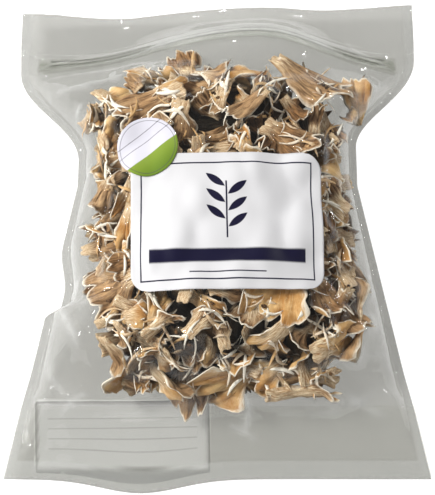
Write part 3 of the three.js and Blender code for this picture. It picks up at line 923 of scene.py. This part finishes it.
front_clear = film_material("front_film_clear", (0.98, 0.98, 0.976), (0.85, 0.86, 0.84), 0.06)
back_clear = film_material("back_film_clear", (0.757, 0.755, 0.735), (0.25, 0.25, 0.24), 0.2)
gusset_clear = film_material("gusset_clear", (0.985, 0.985, 0.98), (0.85, 0.86, 0.84), 0.12)
zip_clear = film_material("zip_clear", (0.93, 0.935, 0.92), (0.86, 0.87, 0.85), 0.12)
print("film materials made")

# %% [markdown]
# The front film is laid over the finished heap. It starts on the CAD film and sinks between the
# pieces, as far as the film is slack: each round moves a point to the middle of its neighbours and a
# little down, but never into the heap. What comes out is a sheet that tents from piece to piece.

# %% Drape the front film
FILM_COLUMNS, FILM_ROWS = 180, 212
SLACK, MOST_RISE = 5.0, 0.6
ROUNDS = 260
PULL = 0.06
NO_STOP = -50


def film_places(columns, rows):
    return np.meshgrid(np.linspace(-1, 1, columns + 1), np.linspace(BOTTOM_Y, TOP_Y, rows + 1))


grid_s, grid_y = film_places(FILM_COLUMNS, FILM_ROWS)
rest = film_point(front_height, grid_s, grid_y)
plain_x, plain_y = rest[..., 0], rest[..., 1]
obstacle = widest(heap_top, 1)[map_index(plain_x, plain_y)] + 0.7 - rest[..., 2]
free = 1 - smoothstep(np.abs(grid_s), 0.74, 0.92)
free = free * smoothstep(grid_y, -112, -90) * (1 - smoothstep(grid_y, 74, 86))
obstacle = np.where(free > 0, np.minimum(obstacle, 0.4), NO_STOP)


def relaxed(sink, rounds, pull):
    for _ in range(rounds):
        mean = sum(neighbours(sink)) / 4
        sink = np.clip(np.maximum(mean - pull, obstacle), -SLACK * free, MOST_RISE)
    return sink


sink = relaxed(np.zeros_like(grid_s), ROUNDS, PULL)
print("the film sinks up to", round(float(-sink.min()), 1), "mm between the pieces")

# %% [markdown]
# Film that has been filled and handled keeps creases: sharp lines where it folded, running from the
# seals and the corners of the zip into the body. Each one is a ridge along a line, high in the middle
# of its run and gone at its ends.

# %% Creases
CREASES = [
    (-73, -4, -70, -44, 1.6, 2.2), (-84, -30, -66, -70, 1.2, 3.0), (-66, 62, -78, 44, 1.3, 2.0),
    (-90, 74, -60, 66, 1.0, 2.5), (96, 84, 80, 72, 1.4, 2.2), (78, 30, 66, 4, 0.9, 2.5),
    (70, -26, 92, -44, 1.2, 2.4), (64, -70, 96, -62, 1.1, 2.6), (58, -86, 90, -96, 1.0, 2.8),
    (12, -82, 16, -106, 1.5, 2.0), (4, -96, 22, -112, 1.0, 2.0), (-60, -84, -84, -98, 1.0, 2.4),
    (-30, -92, -70, -100, 0.8, 2.2), (40, -98, 84, -84, 0.8, 2.4), (-92, -60, -72, -92, 0.9, 2.6),
    (-40, 88, -84, 100, 0.8, 2.2), (50, 92, 92, 100, 0.8, 2.2), (-20, 108, -70, 118, 0.6, 3.0),
    (20, 112, 80, 120, 0.6, 3.0), (80, -74, 100, -104, 0.8, 2.6), (86, 58, 74, 44, 1.0, 2.0),
]


def crease_relief(x, y):
    relief = np.zeros_like(x)
    for x0, y0, x1, y1, rise, width in CREASES:
        run = math.hypot(x1 - x0, y1 - y0)
        ahead = ((x - x0) * (x1 - x0) + (y - y0) * (y1 - y0)) / run**2
        aside = ((x - x0) * (y1 - y0) - (y - y0) * (x1 - x0)) / run
        aside = aside + 1.6 * np.sin(ahead * 5 + x0)
        taper = smoothstep(ahead, 0, 0.3) * (1 - smoothstep(ahead, 0.7, 1))
        relief += rise * taper * np.exp(-np.abs(aside) / width)
    return relief


def crinkles(x, y):
    folds = 1 - np.abs(grain(x / 17 + y / 40, y / 23 - x / 60, 31))
    small = 1 - np.abs(grain(x / 8, y / 9, 32))
    return 0.8 * (folds**3 - 0.4) + 0.45 * (small**3 - 0.4) + 0.12 * grain(x / 4, y / 4, 33)


inside = 1 - smoothstep(np.abs(grid_s), 0.86, 0.95)
inside = inside * smoothstep(grid_y, -122, -112) * (1 - 0.85 * smoothstep(grid_y, 78, 90))
creased = crease_relief(plain_x, plain_y)
sink = sink + inside * (creased + crinkles(plain_x, plain_y))
sink = np.maximum(sink, np.where(free > 0.3, obstacle - 0.2, NO_STOP))
print("creases:", len(CREASES), "highest", round(float(creased.max()), 1), "mm")

# %% [markdown]
# Paper is stiffer than film, so the film under the labels is drawn smooth: over the patch that the
# labels cover, it follows a softened top of the heap.

# %% Smooth the film under the labels
LABEL = {"x": 4.5, "y": -6.5, "width": 92, "height": 67, "corner": 9, "turn": 1}
STICKER = {"x": -34, "y": 31, "radius": 15}
BACK_LABEL = {"x": -49, "y": -105, "width": 90, "height": 36, "corner": 0.5, "turn": 1}

label_out = np.maximum(np.abs(plain_x - LABEL["x"]) - LABEL["width"] / 2,
                       np.abs(plain_y - LABEL["y"]) - LABEL["height"] / 2)
sticker_out = np.hypot(plain_x - STICKER["x"], plain_y - STICKER["y"]) - STICKER["radius"]
covered = 1 - smoothstep(np.minimum(label_out, sticker_out), 0.5, 5)
paper_sink = np.minimum(smooth_map(widest(sink, 4), 30) + 0.3, 0.8)
sink = lerp(sink, paper_sink, covered)
film_grid = rest + np.stack([np.zeros_like(sink), np.zeros_like(sink), sink], -1)
film_normals = np.cross(np.gradient(film_grid, axis=1), np.gradient(film_grid, axis=0))
film_normals /= np.linalg.norm(film_normals, axis=-1, keepdims=True)
print("share of the film under labels:", round(float(covered.mean()), 3))

# %% [markdown]
# A film is a grid of faces with a Solidify modifier for its thickness. Its vertices carry the haze of
# the seal bands along the sides and the bottom. On the front film creases are whitened as well.

# %% Front film
THIN = 0.2
SEAL_HAZE = 0.05
FRONT_HAZE, CREASE_HAZE = 0.004, 0.1


def flat_grid(columns, rows):
    bm = bmesh.new()
    bmesh.ops.create_grid(bm, x_segments=columns, y_segments=rows, size=1)
    return mesh_of(bm, "sheet")


def grid_lookup(flat, columns, rows, values):
    column = np.round((flat[:, 0] + 1) / 2 * columns).astype(int)
    row = np.round((flat[:, 1] + 1) / 2 * rows).astype(int)
    return values[row, column]


def seal_bands(across, y):
    sides = smoothstep(np.abs(across), 0.945, 0.955)
    bottom = 1 - smoothstep(y, -118, -117)
    return np.maximum(sides, bottom)


def add_film(name, columns, rows, points, haze, stuck, material, replaced):
    mesh = flat_grid(columns, rows)
    flat = read_points(mesh)
    write_points(mesh, grid_lookup(flat, columns, rows, points))
    write_attribute(mesh, "haze", grid_lookup(flat, columns, rows, haze))
    write_attribute(mesh, "stuck", grid_lookup(flat, columns, rows, stuck))
    piece = add_piece(name, mesh, material, replaced)
    wall = piece.modifiers.new("thickness", "SOLIDIFY")
    wall.thickness = THIN * MM
    wall.offset = 0
    return piece


whitened = np.clip(inside * creased, 0, 1.3) ** 2
front_haze = FRONT_HAZE + SEAL_HAZE * seal_bands(grid_s, grid_y) + CREASE_HAZE * whitened
front = add_film("fine_front_film", FILM_COLUMNS, FILM_ROWS, film_grid, front_haze, 0 * front_haze,
                 front_clear, ["front_film"])
print("front film faces:", len(front.data.polygons))

# %% [markdown]
# The back film lies on the table and turns up at the sides. It is the milky one, apart from the patch
# that the back label is pressed to.

# %% Back film
BACK_COLUMNS, BACK_ROWS = 120, 140
BACK_HAZE, STUCK_HAZE = 0.25, 0.02

back_s, back_y = film_places(BACK_COLUMNS, BACK_ROWS)
back_grid = film_point(back_height, back_s, back_y)
sides_up = smoothstep(np.abs(back_s), 0.5, 0.8) * (1 - smoothstep(np.abs(back_s), 0.88, 0.95))
back_grid[..., 2] += 0.8 * sides_up * crinkles(back_grid[..., 0] + 40, back_grid[..., 1])
label_reach = np.maximum(np.abs(back_grid[..., 0] - BACK_LABEL["x"]) - BACK_LABEL["width"] / 2,
                         np.abs(back_grid[..., 1] - BACK_LABEL["y"]) - BACK_LABEL["height"] / 2)
wetted = 1 - smoothstep(label_reach, -2.0, 0.5)
back_haze = (BACK_HAZE + SEAL_HAZE * seal_bands(back_s, back_y)) * (1 - wetted) + STUCK_HAZE * wetted
back = add_film("fine_back_film", BACK_COLUMNS, BACK_ROWS, back_grid, back_haze, wetted,
                back_clear, ["back_film"])
print("back film faces:", len(back.data.polygons))

# %% [markdown]
# The gusset is one sheet, folded up between the films at the low end: along the back film, round the
# fold and back under the front film. The zip strips keep their CAD meshes.

# %% Gusset and zip strips
GUSSET_PATH = [(0, 0), (0.3, 0), (0.65, 0), (0.96, 0), (1, 0.5), (0.96, 1), (0.65, 1), (0.3, 1), (0, 1)]
GUSSET_COLUMNS, GUSSET_ROWS = 110, 48
GUSSET_HAZE, GUSSET_SEAL_HAZE = 0.01, 0.04


def gusset_points():
    steps = np.linspace(0, len(GUSSET_PATH) - 1, GUSSET_ROWS + 1)
    shares, sides = (np.interp(steps, range(len(GUSSET_PATH)), part) for part in zip(*GUSSET_PATH))
    s, share = np.meshgrid(np.linspace(-1, 1, GUSSET_COLUMNS + 1), shares[::-1])
    side = np.broadcast_to(sides[::-1, None], s.shape)
    y = lerp(BOTTOM_Y + 1, FOLD_Y, share)
    points = film_point(back_height, s, y)
    room = film_point(front_height, s, y)[..., 2] - points[..., 2]
    points[..., 2] += SEAL_GAP + side * np.minimum(room - 2 * SEAL_GAP, 4.5)
    return points, GUSSET_HAZE + GUSSET_SEAL_HAZE * seal_bands(s, y)


gusset_grid, gusset_haze = gusset_points()
add_film("fine_gusset", GUSSET_COLUMNS, GUSSET_ROWS, gusset_grid, gusset_haze, 0 * gusset_haze,
         gusset_clear, ["bottom_gusset"])
for node in ("zip_front_strip", "zip_back_strip"):
    nodes[node].data.materials.clear()
    nodes[node].data.materials.append(zip_clear)
print("gusset faces:", GUSSET_COLUMNS * GUSSET_ROWS)

# %% [markdown]
# ## Labels
# The labels are printed paper. Their prints are plain motifs drawn in the material from the label's
# own width and height, which each vertex carries: a framed sprig on the front label, a slanted green
# band on the round sticker, faint rules on the back label. The back label's paper is half see-through.

# %% Paper finishes
BACK_COVER = 0.5


def paper_surface(material, tree, tone, roughness, cover=1.0):
    place = tree.node("ShaderNodeTexCoord", {}, output=3)
    tooth = noise(place, 1800.0, 2.0, 0.6)
    soft = noise(place, 60.0, 2.0, 0.5)
    shader = tree.node("ShaderNodeBsdfPrincipled", {
        "Base Color": tone, "Roughness": roughness + tooth * 0.1,
        "Specular IOR Level": 0.4, "Alpha": cover,
        "Normal": bump(tooth * 0.15 + soft, 0.25, 0.0008),
    })
    set_surface(material, shader)


def line_at(value, place, half):
    """1 on a line of that half width, 0 away from it."""
    return 1 - step(abs(value - place), half * 0.8, half * 1.2)


def front_label_print():
    material, tree = new_material("front_label_print")
    u, v = attribute(tree, "u"), attribute(tree, "v")
    inset_u, inset_v = LABEL["width"] / 2 - 5, LABEL["height"] / 2 - 5
    from_frame = u.math("MAXIMUM", abs(u) - inset_u, abs(v) - inset_v)
    frame_line = line_at(from_frame, 0, 0.35)
    band = line_at(v, -17, 3.2) * (1 - step(from_frame, -4.2, -4.0))
    rule = line_at(v, -25, 0.3) * (1 - step(abs(u), 17.8, 18.2))
    stem = line_at(u, 0, 0.4) * step(v, -9.0, -8.6) * (1 - step(v, 19.0, 19.4))
    printed = frame_line
    for part in (band, rule, stem):
        printed = printed.math("MAXIMUM", printed, part)
    for side, height in ((1, -4), (-1, 0), (1, 4), (-1, 8), (1, 12), (-1, 16)):
        run = u * side * 0.8 + (v - height) * 0.6
        off = (v - height) * 0.8 - u * side * 0.6
        leaf = step(1.9 - abs(off) - (run - 6.5) * (run - 6.5) * 0.055, 0.0, 0.25)
        printed = printed.math("MAXIMUM", printed, leaf)
    tone = blend(printed, opaque(color(210, 209, 210)), opaque(color(22, 20, 46)))
    paper_surface(material, tree, tone, 0.42)
    return material


def sticker_print():
    material, tree = new_material("sticker_print")
    u, v = attribute(tree, "u"), attribute(tree, "v")
    slant = math.radians(36)
    rise = v * math.cos(slant) - u * math.sin(slant)
    green = blend(step(rise, -14, -4), opaque(color(98, 124, 40)), opaque(color(124, 146, 52)))
    tone = blend(step(rise, -4.3, -4.0), green, opaque(color(204, 202, 210)))
    rules = line_at(rise, 2.6, 0.2) + line_at(rise, 7.4, 0.2)
    ring = line_at((u * u + v * v) ** 0.5, 13.6, 0.15)
    tone = blend((rules + ring) * 0.7, tone, opaque(color(70, 68, 76)))
    paper_surface(material, tree, tone, 0.35)
    return material


def back_label_print():
    material, tree = new_material("back_label_print")
    u, v = attribute(tree, "u"), attribute(tree, "v")
    rules = line_at(v, 9, 0.35)
    for height in (4, -1, -6):
        rules = rules + line_at(v, height, 0.35)
    rules = rules * (1 - step(abs(u), 38, 39))
    tone = blend(rules * 0.45, opaque(color(204, 204, 203)), opaque(color(110, 108, 104)))
    paper_surface(material, tree, tone, 0.6, BACK_COVER)
    return material


label_paper, sticker_paper, back_paper = front_label_print(), sticker_print(), back_label_print()
print("label prints made")

# %% [markdown]
# The front label and the sticker ride on the draped film: each vertex looks up the film's place and
# normal under it and stands a fraction of a millimetre off. The back label does the same under the
# back film.

# %% Stick the labels on
PAPER = 0.22
LABEL_LIFT, STICKER_LIFT, BACK_LIFT = 0.4, 0.95, 0.5


def sample(grid, x, y):
    """A value of the film's grid at a plan place, between its four nearest points."""
    column = np.clip((across_at(x, y) + 1) / 2 * FILM_COLUMNS, 0, FILM_COLUMNS - 1e-6)
    row = np.clip((y - BOTTOM_Y) / (TOP_Y - BOTTOM_Y) * FILM_ROWS, 0, FILM_ROWS - 1e-6)
    c, r = column.astype(int), row.astype(int)
    fc, fr = (column - c)[:, None], (row - r)[:, None]
    return lerp(lerp(grid[r, c], grid[r, c + 1], fc), lerp(grid[r + 1, c], grid[r + 1, c + 1], fc), fr)


def on_front(x, y, lift):
    normal = sample(film_normals, x, y)
    normal /= np.linalg.norm(normal, axis=1, keepdims=True)
    return sample(film_grid, x, y) + normal * lift[:, None]


def on_back(x, y, lift):
    across = across_at(x, y)
    return film_point(back_height, across, y) - film_normal(back_height, across, y) * lift[:, None]


def add_label(name, label, columns, rows, stick, lift, material, replaced):
    mesh = flat_slab(columns, rows)
    flat = read_points(mesh)
    v = flat[:, 1] * label["height"] / 2
    past = np.maximum(np.abs(v) - (label["height"] / 2 - label["corner"]), 0)
    inset = label["corner"] - np.sqrt(np.maximum(label["corner"] ** 2 - past**2, 0))
    u = flat[:, 0] * (label["width"] / 2 - inset)
    turn = math.radians(label["turn"])
    x = label["x"] + u * math.cos(turn) - v * math.sin(turn)
    y = label["y"] + u * math.sin(turn) + v * math.cos(turn)
    outward = 1 if stick is on_front else -1
    write_points(mesh, stick(x, y, lift + outward * PAPER * (flat[:, 2] - 0.5)))
    write_attribute(mesh, "u", u)
    write_attribute(mesh, "v", v)
    return add_piece(name, mesh, material, replaced)


def add_sticker():
    mesh = flat_slab(40, 40)
    flat = read_points(mesh)
    u = STICKER["radius"] * flat[:, 0] * np.sqrt(1 - flat[:, 1] ** 2 / 2)
    v = STICKER["radius"] * flat[:, 1] * np.sqrt(1 - flat[:, 0] ** 2 / 2)
    lift = STICKER_LIFT + PAPER * (flat[:, 2] - 0.5)
    write_points(mesh, on_front(STICKER["x"] + u, STICKER["y"] + v, lift))
    write_attribute(mesh, "u", u)
    write_attribute(mesh, "v", v)
    return add_piece("fine_round_sticker", mesh, sticker_paper, ["round_sticker"])


add_label("fine_front_label", LABEL, 110, 84, on_front, LABEL_LIFT,
          label_paper, ["front_label"])
add_sticker()
add_label("fine_back_label", BACK_LABEL, 60, 28, on_back, BACK_LIFT,
          back_paper, ["back_label"])
print("labels stuck on: 3")

# %% [markdown]
# The closed zip shows through the front film as two darker lines. Each is a narrow strip, laid like a
# label but just under the film.

# %% Pressed lines of the zip
ZIP_LINES = (ZIP_Y - 1.7, ZIP_Y + 1.7)
ZIP_LINE_LIFT = -0.5
zip_line_clear = film_material("zip_line_clear", (0.74, 0.74, 0.73), (0.8, 0.8, 0.79), 0.15)
for y in ZIP_LINES:
    line = {"x": 0, "y": y, "width": 184, "height": 0.9, "corner": 0.1, "turn": 0}
    add_label(f"zip_line_{y:.0f}", line, 120, 1, on_front, ZIP_LINE_LIFT,
              zip_line_clear, [])
print("zip lines pressed at", ZIP_LINES)

# %% [markdown]
# ## Table and light
# The photograph has a plain white ground and a soft light from the left, so the left slopes are bright
# and the heap's shadow falls to the right. The floor glows to stay white. The key and the fill are
# hidden from reflections, as they would lay white patches on the film. Small lights and thin strips
# make the glints instead.

# %% Floor, lights and world
FLOOR_HALF = 20
FLOOR_DROP = 0.0004
FLOOR_GLOW = 0.92
STRIP_HEIGHT = 0.035
GLINT_SIZE, GLINT_POWER = 0.045, 0.65
WORLD_GLOW = 0.15


def add_floor():
    bm = bmesh.new()
    bmesh.ops.create_grid(bm, x_segments=1, y_segments=1, size=FLOOR_HALF)
    mesh = mesh_of(bm, "floor")
    material, tree = new_material("pale_floor")
    shader = tree.node("ShaderNodeBsdfPrincipled", {
        "Base Color": (0.55, 0.55, 0.55, 1), "Roughness": 0.9,
        "Emission Color": (1, 1, 1, 1), "Emission Strength": FLOOR_GLOW,
    })
    set_surface(material, shader)
    mesh.materials.append(material)
    floor = bpy.data.objects.new("floor", mesh)
    floor.location.z = -FLOOR_DROP
    scene.collection.objects.link(floor)


def add_light(name, place, target, size, power, mirrored=True, height=None):
    data = bpy.data.lights.new(name, "AREA")
    data.size = size
    if height:
        data.shape = "RECTANGLE"
        data.size_y = height
    data.energy = power
    light = bpy.data.objects.new(name, data)
    light.location = place
    light.rotation_euler = (Vector(target) - Vector(place)).to_track_quat("-Z", "Y").to_euler()
    light.visible_glossy = mirrored
    scene.collection.objects.link(light)


TARGET = (0, 0, 0.03)
GLINTS = [(-0.35, 0.95, 0.9), (-0.8, 0.7, 0.6), (-0.9, -0.6, 0.7), (0.5, 0.9, 0.6), (-0.2, 0.7, 1.1)]
add_floor()
add_light("key_left", (-0.6, 0.15, 0.86), TARGET, 0.28, 11, mirrored=False)
add_light("fill_top", (0.4, -0.5, 1.2), TARGET, 0.8, 1.5, mirrored=False)
add_light("strip_left", (-1.0, -0.1, 0.4), TARGET, 0.6, 3.4, height=STRIP_HEIGHT)
add_light("strip_right", (1.0, 0.2, 0.55), TARGET, 0.4, 2.2, height=STRIP_HEIGHT)
for number, place in enumerate(GLINTS):
    add_light(f"glint_{number}", place, TARGET, GLINT_SIZE, GLINT_POWER)
world = bpy.data.worlds.new("studio")
world.use_nodes = True
world.node_tree.nodes["Background"].inputs["Color"].default_value = (1, 1, 1, 1)
world.node_tree.nodes["Background"].inputs["Strength"].default_value = WORLD_GLOW
scene.world = world
scene.view_settings.view_transform = "Standard"
scene.cycles.max_bounces = 6
scene.cycles.diffuse_bounces = 2
scene.cycles.glossy_bounces = 2
scene.cycles.transparent_max_bounces = 24
print("lights:", [light.name for light in bpy.data.lights])
